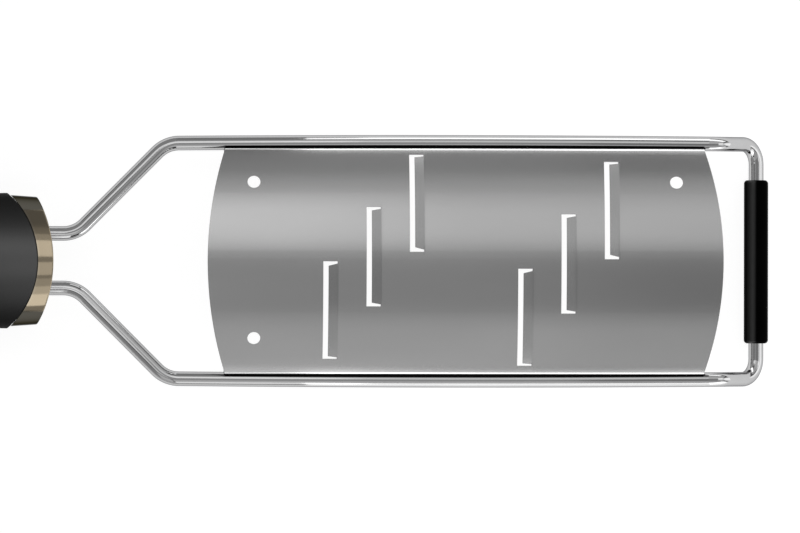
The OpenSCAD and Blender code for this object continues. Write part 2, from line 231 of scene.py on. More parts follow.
# Handling shows first on raised edges: a mask from how far the surface stands out there
edgeWear, groupIn, groupOut = newGroup(
    "edgeWear",
    [("From", "NodeSocketFloat", 0.52), ("To", "NodeSocketFloat", 0.6), ("Breakup", "NodeSocketFloat", 0.5)],
    [("Worn", "NodeSocketFloat")])
raised = addNode(edgeWear, "ShaderNodeNewGeometry")
edge = rangeNode(edgeWear, raised.outputs["Pointiness"],
                 groupIn.outputs["From"], groupIn.outputs["To"], 0.0, 1.0)
edgeWear.links.new(mathNode(edgeWear, "MULTIPLY", edge, groupIn.outputs["Breakup"], True),
                   groupOut.inputs["Worn"])

# A line along each rail, at a place across the frame, above a height and between two ends along it
seamLine, groupIn, groupOut = newGroup(
    "seamLine",
    [("Vector", "NodeSocketVector", None), ("Across", "NodeSocketFloat", 0.032),
     ("Width", "NodeSocketFloat", 0.0004), ("Height", "NodeSocketFloat", 0.016),
     ("Start", "NodeSocketFloat", 0.004), ("End", "NodeSocketFloat", 0.14)],
    [("Seam", "NodeSocketFloat")])
place = addNode(seamLine, "ShaderNodeSeparateXYZ")
seamLine.links.new(groupIn.outputs["Vector"], place.inputs[0])
offLine = mathNode(seamLine, "ABSOLUTE", mathNode(
    seamLine, "SUBTRACT", mathNode(seamLine, "ABSOLUTE", place.outputs["Y"]), groupIn.outputs["Across"]))
inLine = mathNode(seamLine, "SUBTRACT", 1.0, mathNode(seamLine, "DIVIDE", offLine, groupIn.outputs["Width"]), True)
# full over the inner two thirds of its width
inLine = mathNode(seamLine, "MINIMUM", mathNode(seamLine, "MULTIPLY", inLine, 3.0), 1.0)
above = mathNode(seamLine, "GREATER_THAN", place.outputs["Z"], groupIn.outputs["Height"])
after = mathNode(seamLine, "GREATER_THAN", place.outputs["X"], groupIn.outputs["Start"])
before = mathNode(seamLine, "LESS_THAN", place.outputs["X"], groupIn.outputs["End"])
within = mathNode(seamLine, "MULTIPLY", above, mathNode(seamLine, "MULTIPLY", after, before))
seamLine.links.new(mathNode(seamLine, "MULTIPLY", inLine, within), groupOut.inputs["Seam"])
print("node groups made")


def newMaterial(name):
    # returns the material, its tree, its shader, and the Object coordinates
    material = bpy.data.materials.new(name)
    material.use_nodes = True
    tree = material.node_tree
    shader = tree.nodes["Principled BSDF"]
    coordinates = addNode(tree, "ShaderNodeTexCoord").outputs["Object"]
    return material, tree, shader, coordinates


def shadesOf(tree, clouds, low, high, colour, darkest, lightest):
    # the colour between its darkest and lightest share, as the clouds go from low to high
    return mixColours(tree, rangeNode(tree, clouds, low, high, 0.0, 1.0),
                      tuple(darkest * c for c in colour), tuple(lightest * c for c in colour))


def roughnessFrom(tree, shader, value, roughness, spread):
    # the roughness wanders by that share of itself to each side
    tree.links.new(rangeNode(tree, value, 0.3, 0.7, (1 - spread) * roughness, (1 + spread) * roughness),
                   shader.inputs["Roughness"])


def bumpFrom(tree, shader, height, distance):
    # distance is in millimetres
    bump = setInputs(addNode(tree, "ShaderNodeBump"), Strength=1.0, Distance=distance * millimetre)
    tree.links.new(height, bump.inputs["Height"])
    tree.links.new(bump.outputs["Normal"], shader.inputs["Normal"])


def railLine(tree, coordinates, place):
    # the mask of a line along both rails, at a place given in millimetres
    across, width, height, start, end = (value * millimetre for value in place)
    return useGroup(tree, seamLine, Vector=coordinates, Across=across, Width=width, Height=height,
                    Start=start, End=end).outputs["Seam"]


# Wire frame: one rod from one flattened end, round the front bar, to the other

wire = {
    "radius": 2.075,
    "railAcross": 33.25,        # middle of each rail from the middle line
    "neckAcross": 7.7,
    "endX": -83.598, "neckX": -36.898, "railStartX": -11.702, "railEndX": 142.798, "barX": 154.198,
    "barHeight": 3.4,
    "neckBend": 8.5, "legBend": 7.0, "cornerBend": 5.8,
    "step": 0.8, "turnStep": 3.0, "sides": 36,
    "widestX": 67.7, "drawnReach": 79.8, "drawnShare": 0.0101,  # the rails draw in towards both ends
    "endWidth": 3.5, "endThickness": 1.0, "flatLength": 9.0,    # halves of the flattened ends
    # painted shade where the hem closes on the rail, a near black line: across, half width, lowest, from and to
    # along X
    "gap": (31.65, 0.3, 15.8, 4.5, 139.2), "paintedGapShade": (0.006, 0.006, 0.006),
    "steel": (0.54, 0.54, 0.543), "roughness": 0.08,
}


def turned(vector, axis, angles):
    # Rodrigues: the vector turned about the axis by each angle
    cosine, sine = np.cos(angles)[:, None], np.sin(angles)[:, None]
    return vector * cosine + np.cross(axis, vector) * sine + axis * (axis @ vector) * (1 - cosine)


def bentPath(corners, bends, up, step, turnStep):
    # straight runs between rounded corners; the up direction is carried round each bend with the rod
    corners = np.asarray(corners, float)
    points, tangents, ups = [], [], []
    start = corners[0]
    for k in range(1, len(corners)):
        way = corners[k] - corners[k - 1]
        way = way / np.linalg.norm(way)
        last = k == len(corners) - 1
        setback = 0.0
        if not last:
            onward = corners[k + 1] - corners[k]
            onward = onward / np.linalg.norm(onward)
            angle = np.arccos(np.clip(way @ onward, -1, 1))
            setback = bends[k - 1] * np.tan(angle / 2)
        end = corners[k] - way * setback
        count = max(int(np.linalg.norm(end - start) / step), 1)
        share = np.linspace(0, 1, count, endpoint=last)[:, None]
        points.append(start + (end - start) * share)
        tangents.append(np.repeat(way[None], count, 0))
        ups.append(np.repeat(up[None], count, 0))
        if last:
            break
        axis = np.cross(way, onward)
        axis = axis / np.linalg.norm(axis)
        inward = np.cross(axis, way)
        centre = end + inward * bends[k - 1]
        turns = np.linspace(0, angle, max(int(np.degrees(angle) / turnStep), 2), endpoint=False)
        points.append(centre - turned(inward, axis, turns) * bends[k - 1])
        tangents.append(turned(way, axis, turns))
        ups.append(turned(up, axis, turns))
        start = corners[k] + onward * setback
        up = turned(up, axis, np.array([angle]))[0]
    return np.concatenate(points), np.concatenate(tangents), np.concatenate(ups)


def sweptRod(points, tangents, ups, halfWidth, halfThickness, sides):
    # at each place of the path an oval of its own half width and half thickness, square to the path
    angle = np.linspace(0, 2 * np.pi, sides, endpoint=False)
    across = np.cross(ups, tangents)
    return (points[:, None] + across[:, None] * (halfWidth[:, None] * np.cos(angle))[..., None]
            + ups[:, None] * (halfThickness[:, None] * np.sin(angle))[..., None])


def drawnIn(points):
    # the rails stand widest apart at one place and draw in by the square of the distance from it
    away = np.clip((points[..., :1] - wire["widestX"]) / wire["drawnReach"], -1, 1)
    across = 1 - wire["drawnShare"] * away ** 2
    return points * np.concatenate([np.ones_like(away), across, np.ones_like(away)], -1)


def makeWire():
    # half the corners of the path are given, and the other half is their mirror image
    halfCorners = [
        (wire["endX"], wire["neckAcross"], lineHeight),
        (wire["neckX"], wire["neckAcross"], lineHeight),
        (wire["railStartX"], wire["railAcross"], lineHeight),
        (wire["railEndX"], wire["railAcross"], lineHeight),
        (wire["barX"], wire["railAcross"], wire["barHeight"]),
    ]
    corners = halfCorners + [(x, -y, z) for x, y, z in halfCorners[::-1]]
    halfBends = [wire["neckBend"], wire["neckBend"], wire["legBend"], wire["cornerBend"]]
    points, tangents, ups = bentPath(corners, halfBends + halfBends[::-1], np.array([0.0, 0.0, 1.0]),
                                     wire["step"], wire["turnStep"])
    run = np.concatenate([[0], np.cumsum(np.linalg.norm(np.diff(points, axis=0), axis=1))])
    fromEnd = np.minimum(run, run[-1] - run)
    # the hammered ends: wide and thin, easing back to the round rod
    share = np.clip((wire["flatLength"] - fromEnd) / (wire["flatLength"] - wire["endWidth"]), 0, 1)
    share = share * share * (3 - 2 * share)
    rounding = np.sqrt(1 - (1 - np.clip(fromEnd / wire["endWidth"], 0, 1)) ** 2)
    halfWidth = (wire["radius"] + (wire["endWidth"] - wire["radius"]) * share) * rounding
    halfThickness = (wire["radius"] + (wire["endThickness"] - wire["radius"]) * share) * np.sqrt(rounding)
    rod = sweptRod(points, tangents, ups, halfWidth, halfThickness, wire["sides"])
    return makePiece("wireFrame", drawnIn(rod), gridFaces(len(points), wire["sides"], True),
                     "wire_frame")


wirePiece = makeWire()

polishedWire, tree, shader, coordinates = newMaterial("polishedWire")
setInputs(shader, Metallic=1.0, Specular_Tint=(0.35, 0.35, 0.36, 1))
marks = useGroup(tree, drawnGrain, Vector=coordinates, Stretch=(60, 400, 400), Fine=6.0, Broad=0.4)
# painted shade: the rail is coloured near black along the line where the hem closes on it
gap = railLine(tree, coordinates, wire["gap"])
steel = shadesOf(tree, marks.outputs["Clouds"], 0.3, 0.7, wire["steel"], 0.93, 1.0)
tree.links.new(mixColours(tree, gap, steel, wire["paintedGapShade"]), shader.inputs["Base Color"])
roughnessFrom(tree, shader, marks.outputs["Grain"], wire["roughness"], 0.25)
bumpFrom(tree, shader, marks.outputs["Grain"], 0.0008)
wirePiece.data.materials.append(polishedWire)
print("wire frame made")


# Blade: one sheet with an arch, a fold and a hem at each side, six raised cutters and three holes

blade = {
    "thickness": 0.5,
    # the arch: radius of its upper face, height of its axis, half angle
    "archRadius": 75.0, "archHeight": -50.0971, "archTurn": 24.5217,
    # the fold: place and height of its axis, radius and turn; the hem: radius about the rail, start and turn
    "foldAcross": 30.5883, "foldHeight": 16.9554, "foldRadius": 1.05, "foldTurn": 104.478,
    "hemRadius": 2.375, "hemStart": 141.0, "hemTurn": 167.0,
    # the ends at the hems, how far they bow out at the middle line, and the length that takes up the bow
    "startX": 4.298, "endX": 139.098, "bow": 4.75, "endZone": 8.0,
    "slits": (31.898, 43.998, 56.098, 86.398, 98.498, 110.598),         # rear edge of each cutter's slit
    "middles": (-14.1, 1.3, 16.7, -16.1, -0.7, 14.7),                   # middle of each cutter along the arch
    # half the length of a slit, its width, the run of its side slits, and their width at root and edge
    "windowHalf": 14.03, "slitWidth": 1.4, "slitRun": 3.95, "sideSlit": 0.58, "sideSlitEdge": 1.18,
    # where the tongue bends, its lift at the edge, and how softly; the length ground off, and what is left
    "root": 4.1, "lift": 0.85, "rootSoftness": 0.12, "rootReach": 1.5, "grind": 0.5, "groundEdge": 0.14,
    # rows of points over each cutter, from the slit's rear edge
    "groundRows": (0, 0.5, 0.7, 0.9, 1.0), "tongueRows": (2.5, 3.0, 3.5), "rootRows": (4.25, 4.5, 5.0, 5.6),
    "holes": ((12.598, 22.64), (12.598, -22.02), (130.798, 22.64)), "holeRadius": 1.8, "holeReach": 2.0,
    "rowStep": 4.0, "columnStep": 2.2,
    # the painted shade beside the rail and the painted highlight on the fold: across, half width, lowest, from and
    # to along X
    "gap": (31.72, 0.3, 15.8, -10.0, 200.0), "paintedFoldHighlight": (31.3, 0.22, 15.8, -10.0, 200.0),
    # the first colour here is the painted highlight on the fold
    "paintedHighlightTone": (0.95, 0.95, 0.95), "steel": (0.46, 0.46, 0.46), "roughness": 0.22,
}


def bladeSection(s):
    # y, z and outward direction at a length s from the crown: the arch turns slowly about its axis,
    # the fold quickly about its own, and the hem back again about the wire
    side, s = np.sign(s), np.abs(s)
    archTurn = np.radians(blade["archTurn"])
    archLength = archTurn * blade["archRadius"]
    foldTurn = np.clip((s - archLength) / blade["foldRadius"], 0, np.radians(blade["foldTurn"]))
    foldLength = np.radians(blade["foldTurn"]) * blade["foldRadius"]
    hemTurn = np.clip((s - archLength - foldLength) / blade["hemRadius"], 0, np.radians(blade["hemTurn"]))
    tilt = np.minimum(s / blade["archRadius"], archTurn) + foldTurn
    middle = blade["archRadius"] - blade["thickness"] / 2
    hemAngle = np.radians(blade["hemStart"]) + hemTurn
    inArch, inHem = s <= archLength + 1e-6, hemTurn > 0
    y = np.where(inArch, middle * np.sin(tilt), blade["foldAcross"] + blade["foldRadius"] * np.sin(tilt))
    z = np.where(inArch, blade["archHeight"] + middle * np.cos(tilt),
                 blade["foldHeight"] + blade["foldRadius"] * np.cos(tilt))
    y = np.where(inHem, wire["railAcross"] + blade["hemRadius"] * np.cos(hemAngle), y)
    z = np.where(inHem, lineHeight + blade["hemRadius"] * np.sin(hemAngle), z)
    outY = np.where(inHem, -np.cos(hemAngle), np.sin(tilt))
    outZ = np.where(inHem, -np.sin(hemAngle), np.cos(tilt))
    return y * side, z, outY * side, outZ


def makeBlade():
    # a grid of places along the tool and along the section, less the cells of slits and holes,
    # bent to the section and doubled into two skins
    archLength = np.radians(blade["archTurn"]) * blade["archRadius"]
    foldLength = np.radians(blade["foldTurn"]) * blade["foldRadius"]
    hemLength = np.radians(blade["hemTurn"]) * blade["hemRadius"]
    holeMarks = np.linspace(-1, 1, 17) * blade["holeRadius"] * blade["holeReach"]
    groundMarks = np.array(blade["groundRows"]) * blade["grind"] + blade["slitWidth"]
    cutterMarks = np.concatenate([[0], groundMarks, blade["tongueRows"], [blade["slitRun"], blade["root"]],
                                  blade["rootRows"]])
    tipX, farTipX = blade["startX"] - blade["bow"], blade["endX"] + blade["bow"]
    rows = dividedLines(np.concatenate(
        [[tipX, blade["endZone"], farTipX - blade["endZone"], farTipX]]
        + [slit + cutterMarks for slit in blade["slits"]]
        + [hole[0] + holeMarks for hole in blade["holes"]]), blade["rowStep"])
    windowMarks = np.array([-1, 1]) * blade["windowHalf"]
    tongueMarks = np.array([-1, 1]) * (blade["windowHalf"] - blade["sideSlit"])
    archColumns = dividedLines(np.concatenate(
        [[-archLength, archLength]]
        + [middle + marks for middle in blade["middles"] for marks in (windowMarks, tongueMarks)]
        + [hole[1] + holeMarks for hole in blade["holes"]]), blade["columnStep"])
    foldColumns = archLength + np.linspace(0, foldLength, 11)[1:]
    hemColumns = archLength + foldLength + np.linspace(0, hemLength, 25)[1:]
    sideColumns = np.concatenate([foldColumns, hemColumns])
    columns = np.concatenate([-sideColumns[::-1], archColumns, sideColumns])
    x, s = np.meshgrid(rows, columns, indexing="ij")
    cellX, cellS = (x[1:, 1:] + x[:-1, :-1]) / 2, (s[1:, 1:] + s[:-1, :-1]) / 2

    keep = np.ones(cellX.shape, bool)
    rise, under = np.zeros(x.shape), np.full(x.shape, -blade["thickness"] / 2)
    # each cutter: the slit and its side slits are left out, and the tongue between them is bent up
    tongueHalf = blade["windowHalf"] - blade["sideSlit"]
    squeeze = (blade["sideSlitEdge"] - blade["sideSlit"]) / tongueHalf
    slope = blade["lift"] / (blade["root"] - blade["slitWidth"])
    for slit, middle in zip(blade["slits"], blade["middles"]):
        cellRun, cellAside = cellX - slit, np.abs(cellS - middle)
        inWindow = (cellRun > 0) & (cellRun < blade["slitRun"]) & (cellAside < blade["windowHalf"])
        inTongue = (cellRun > blade["slitWidth"]) & (cellAside < tongueHalf)
        keep &= ~inWindow | inTongue
        run, aside = x - slit, np.abs(s - middle)
        near = (run > blade["slitWidth"] - hair) & (run < blade["root"] + blade["rootReach"])
        # the height rises in a straight slope before the root, rounded off to nothing behind it
        back, farBack = blade["root"] - run, -blade["rootReach"]
        hinge = slope * (back + np.sqrt(back ** 2 + blade["rootSoftness"] ** 2)) / 2
        hinge = hinge - slope * (farBack + np.sqrt(farBack ** 2 + blade["rootSoftness"] ** 2)) / 2
        fade = np.clip((blade["windowHalf"] - aside) / blade["sideSlit"], 0, 1)
        rise = np.where(near, rise + np.maximum(hinge, 0) * fade, rise)
        ground = np.clip(1 - (run - blade["slitWidth"]) / blade["grind"], 0, 1)
        onTongue = near & (aside < tongueHalf + hair) & (run < blade["slitRun"] - hair)
        under = np.where(onTongue, under + ground * (blade["thickness"] - blade["groundEdge"]), under)
        towardsEdge = (blade["slitRun"] - run) / (blade["slitRun"] - blade["slitWidth"])
        s = np.where(onTongue, middle + (s - middle) * (1 - squeeze * towardsEdge), s)
    # each hole: the square of cells is left out and its edge is pulled to a circle
    for holeX, holeS in blade["holes"]:
        keep &= (np.abs(cellX - holeX) > blade["holeRadius"]) | (np.abs(cellS - holeS) > blade["holeRadius"])
        pull, ringX, ringS = squareToRing((x - holeX) / blade["holeRadius"], (s - holeS) / blade["holeRadius"],
                                          blade["holeReach"])
        x = x + (holeX + ringX * blade["holeRadius"] - x) * pull
        s = s + (holeS + ringS * blade["holeRadius"] - s) * pull

    y, z, outY, outZ = bladeSection(s)
    # both ends bow out in a round arc, seen from above
    endRadius = (blade["foldAcross"] ** 2 + blade["bow"] ** 2) / (2 * blade["bow"])
    inset = endRadius - np.sqrt(endRadius ** 2 - y ** 2)
    fromStart, fromEnd = x - tipX, farTipX - x
    atStart, atEnd = (np.clip(1 - away / blade["endZone"], 0, 1) for away in (fromStart, fromEnd))
    x = x + inset * (atStart - atEnd)
    skins = [np.stack([x, y + outY * (rise + offset), z + outZ * (rise + offset)], -1)
             for offset in (blade["thickness"] / 2, under)]
    faces = gridFaces(*x.shape)[keep.ravel()]
    piece = makePiece("shaverBlade", drawnIn(np.stack(skins)), shellFaces(faces, x.size),
                      "shaver_blade", creaseAngle=35)
    softenEdges(piece, width=0.05, segments=2, angle=50)
    return piece


bladePiece = makeBlade()

satinBlade, tree, shader, coordinates = newMaterial("satinBlade")
setInputs(shader, Metallic=1.0, Specular_Tint=(0.6, 0.6, 0.6, 1))
grain = useGroup(tree, drawnGrain, Vector=coordinates, Stretch=(400, 1400, 1400), Fine=2.0, Broad=0.05)
# painted highlight and painted shade: a bright line coloured onto the fold, placed where the photograph has one,
# and a near black line beside it where the hem closes on the rail; a bright line on the fold, next to the dark
# gap, stands where the photograph has one; it is drawn as burnished steel, which is a guess, since in the
# photograph it may only be a reflection
gap = railLine(tree, coordinates, blade["gap"])
paintedFoldHighlight = railLine(tree, coordinates, blade["paintedFoldHighlight"])
steel = shadesOf(tree, grain.outputs["Clouds"], 0.35, 0.65, blade["steel"], 0.96, 1.0)
steel = mixColours(tree, paintedFoldHighlight, steel, blade["paintedHighlightTone"])
tree.links.new(mixColours(tree, gap, steel, wire["paintedGapShade"]), shader.inputs["Base Color"])
roughnessFrom(tree, shader, grain.outputs["Grain"], blade["roughness"], 0.03)
bumpFrom(tree, shader, grain.outputs["Grain"], 0.0002)
bladePiece.data.materials.append(satinBlade)
print("blade made")


# Foot: rubber tube over the front bar

foot = {
    "radius": 3.4, "length": 45.8, "round": 1.0, "bore": 2.05, "lip": 0.2, "sides": 72,
    "glossUp": (151.3, 153.0), "glossDown": (153.0, 154.3),     # places along X where the gloss rises and falls
    "rubber": (0.0007, 0.0007, 0.0007), "worn": (0.004, 0.004, 0.004), "roughness": 0.3,
}


def makeFoot():
    # a closed profile of [distance from the bar's middle, place along it], turned about the bar
    quarter = np.linspace(0, np.pi / 2, 9)
    straight = foot["length"] / 2 - foot["round"]
    cornerR = foot["radius"] - foot["round"] + foot["round"] * np.cos(quarter)
    cornerY = straight + foot["round"] * np.sin(quarter)
    lipR = foot["bore"] + foot["lip"] - foot["lip"] * np.sin(quarter)
    lipY = foot["length"] / 2 - foot["lip"] + foot["lip"] * np.cos(quarter)
    run = np.linspace(-straight, straight, 24)[1:-1]
    halfR, halfY = np.concatenate([cornerR, lipR]), np.concatenate([cornerY, lipY])
    radius = np.concatenate([halfR[::-1], np.full(len(run), foot["radius"]), halfR])
    along = np.concatenate([-halfY[::-1], run, halfY])
    radius, along = np.append(radius, radius[0]), np.append(along, along[0])
    angle = np.linspace(0, 2 * np.pi, foot["sides"], endpoint=False)
    points = np.stack(np.broadcast_arrays(wire["barX"] + radius[:, None] * np.cos(angle), along[:, None],
                                          wire["barHeight"] + radius[:, None] * np.sin(angle)), -1)
    return makePiece("footSleeve", points, gridFaces(len(radius), foot["sides"], True),
                     "foot_sleeve")


footPiece = makeFoot()

footRubber, tree, shader, coordinates = newMaterial("footRubber")
setInputs(shader, Specular_IOR_Level=0.005, Coat_Roughness=0.35, Coat_IOR=1.6)
skin = useGroup(tree, mouldedSkin, Vector=coordinates, Pebble=2600.0, Cloud=120.0)
worn = useGroup(tree, edgeWear, From=0.53, To=0.6, Breakup=skin.outputs["Clouds"])
rubber = shadesOf(tree, skin.outputs["Clouds"], 0.35, 0.65, foot["rubber"], 1.0, 1.8)
tree.links.new(mixColours(tree, worn.outputs["Worn"], rubber, foot["worn"]), shader.inputs["Base Color"])
roughnessFrom(tree, shader, skin.outputs["Clouds"], foot["roughness"], 0.12)
# a glossier strip stands where the photograph has the foot's highlight; that the rubber is smoother there
# is a guess
place = addNode(tree, "ShaderNodeSeparateXYZ")
tree.links.new(coordinates, place.inputs[0])
upFrom, upTo, downFrom, downTo = (x * millimetre for x in foot["glossUp"] + foot["glossDown"])
rubbed = mathNode(tree, "MULTIPLY", rangeNode(tree, place.outputs["X"], upFrom, upTo, 0.0, 1.0, True),
                  rangeNode(tree, place.outputs["X"], downFrom, downTo, 1.0, 0.0, True))
tree.links.new(rubbed, shader.inputs["Coat Weight"])
bumpFrom(tree, shader, skin.outputs["Height"], 0.006)
footPiece.data.materials.append(footRubber)
print("foot made")


# Collar and grip: oval rings and shells turned about the handle's line

handle = {
    "oval": 0.78100,            # thickness over width
    "lipX": -55.874, "gripTipX": -47.898, "gripEdgeRadius": 26.5,
    # half widths of the grip at its lip, waist, swell and the start of its tail
    "knotsX": (-55.874, -90.598, -121.598, -146.098), "knotsHalf": (18.95, 15.7, 16.9, 13.5),
    "tailLength": 11.5, "wall": 2.6, "lipRound": 0.45,
    "holeX": -144.098, "holeRadius": 6.15, "holeReach": 1.7, "holeCells": 12,
    "sides": 120, "rowStep": 1.6,
    "rubber": (0.0035, 0.0035, 0.0034), "worn": (0.03, 0.03, 0.03), "roughness": 0.62,
}
collar = {
    "rearHalf": 18.4, "taper": 3.9, "frontX": -43.598, "edgeRadius": 40.0, "bore": 16.35,
    "gripGap": 0.03, "round": 0.35, "boreRound": 0.25, "sides": 160,
    "shoulder": (7.5, 11.0), "shoulderShare": 0.47, "flanks": (13.6, 14.4),     # where painted shade darkens the ring
    # the darker of these colours is painted shade
    "bronze": (0.37, 0.31, 0.222), "paintedShade": (0.092, 0.087, 0.073), "worn": (0.45, 0.4, 0.32),
    "roughness": 0.1,
}


def ovalPoint(x, half, angle):
    # a point of the oval of that half width round the handle's line
    return np.stack(np.broadcast_arrays(
        x, half * np.cos(angle), lineHeight + handle["oval"] * half * np.sin(angle)), -1)


def makeCollar():
    # rings of points: the outer face from the grip's edge forward, the rounded front edge, the front face,
    # and the bore back; both edges are arcs seen from above, so a point's place along X follows from its
    # place across, and the two settle together in a few rounds
    angle = np.linspace(0, 2 * np.pi, collar["sides"], endpoint=False)[None]
    quarter = np.linspace(0, np.pi / 2, 7)
    rearCentre = handle["gripTipX"] - handle["gripEdgeRadius"]
    rearRadius = handle["gripEdgeRadius"] + collar["gripGap"]
    frontCentre, frontRadius = collar["frontX"] - collar["edgeRadius"], collar["edgeRadius"]
    slope = np.tan(np.radians(collar["taper"]))
    r, rounds = collar["round"], 8

    def edgeX(centre, radius, y):
        return centre + np.sqrt(radius ** 2 - np.minimum(np.abs(y), radius - hair) ** 2)

    def outerHalf(x):
        return collar["rearHalf"] - (x - handle["lipX"]) * slope

    rings = []
    half = np.full(angle.shape, collar["rearHalf"])
    for share in np.linspace(0, 1, 9):
        for _ in range(rounds):
            y = half * np.cos(angle)
            rear, front = edgeX(rearCentre, rearRadius, y), edgeX(frontCentre, frontRadius, y) - r
            x = rear + (front - rear) * share
            half = outerHalf(x)
        rings.append(ovalPoint(x, half, angle))
    for turn in quarter[1:]:
        for _ in range(rounds):
            front = edgeX(frontCentre, frontRadius, half * np.cos(angle))
            x = front - r * (1 - np.sin(turn))
            half = outerHalf(front - r) - r * (1 - np.cos(turn))
        rings.append(ovalPoint(x, half, angle))
    for turn in quarter:
        inner = collar["bore"] + collar["boreRound"] * (1 - np.sin(turn))
        front = edgeX(frontCentre, frontRadius, inner * np.cos(angle))
        x = front - collar["boreRound"] * (1 - np.cos(turn))
        rings.append(ovalPoint(x, np.full(angle.shape, inner), angle))
    inner = collar["bore"]
    for share in np.linspace(0, 1, 5)[1:]:
        y = inner * np.cos(angle)
        front, rear = edgeX(frontCentre, frontRadius, y) - collar["boreRound"], edgeX(rearCentre, rearRadius, y)
        rings.append(ovalPoint(front + (rear - front) * share, np.full(angle.shape, inner), angle))
    rings.append(rings[0])
    points = np.concatenate(rings).reshape(len(rings), collar["sides"], 3)
    return makePiece("collarRing", points, gridFaces(len(rings), collar["sides"], True),
                     "collar", creaseAngle=50)


collarPiece = makeCollar()

satinBronze, tree, shader, coordinates = newMaterial("satinBronze")
setInputs(shader, Metallic=1.0, Specular_Tint=(0.3, 0.3, 0.3, 1))
grain = useGroup(tree, drawnGrain, Vector=coordinates, Stretch=(900, 250, 250), Fine=3.0, Broad=0.1)
worn = useGroup(tree, edgeWear, From=0.52, To=0.58, Breakup=grain.outputs["Clouds"])
metal = shadesOf(tree, grain.outputs["Clouds"], 0.35, 0.65, collar["bronze"], 0.95, 1.0)
metal = mixColours(tree, worn.outputs["Worn"], metal, collar["worn"])
# painted shade: the ring is coloured darker round its sides and half dark on one shoulder, placed as in the
# photograph, standing for the dark surroundings that the metal reflects; the ring is darker round its sides
# and half dark on one shoulder, as in the photograph; it is drawn as a darker plating, which is a guess,
# since it may be dark surroundings that the metal reflects
place = addNode(tree, "ShaderNodeSeparateXYZ")
tree.links.new(coordinates, place.inputs[0])
halfDark, dark, flankFrom, flankTo = (y * millimetre for y in collar["shoulder"] + collar["flanks"])
onShoulder = rangeNode(tree, place.outputs["Y"], halfDark, dark, 0.0, collar["shoulderShare"], True)
onFlanks = rangeNode(tree, mathNode(tree, "ABSOLUTE", place.outputs["Y"]), flankFrom, flankTo, 0.0, 1.0, True)
paintedShade = mathNode(tree, "MAXIMUM", onShoulder, onFlanks)
tree.links.new(mixColours(tree, paintedShade, metal, collar["paintedShade"]), shader.inputs["Base Color"])
roughnessFrom(tree, shader, grain.outputs["Grain"], collar["roughness"], 0.15)
bumpFrom(tree, shader, grain.outputs["Grain"], 0.0004)
collarPiece.data.materials.append(satinBronze)
print("collar made")


def gripHalf(x, inset=0.0):
    # half width at x: half cosine waves from knot to knot, then a quarter ellipse over the tail
    knotsX, knotsHalf = handle["knotsX"], handle["knotsHalf"]
    half = np.full(np.shape(x), knotsHalf[0])
    for a, b, halfA, halfB in zip(knotsX[:-1], knotsX[1:], knotsHalf[:-1], knotsHalf[1:]):
        share = np.clip((a - x) / (a - b), 0, 1)
        half = np.where(x < a, halfA + (halfB - halfA) * (1 - np.cos(np.pi * share)) / 2, half)
    over = np.clip((knotsX[-1] - x) / (handle["tailLength"] - inset), 0, 1)
    return np.where(x < knotsX[-1], (knotsHalf[-1] - inset) * np.sqrt(1 - over ** 2), half - inset)


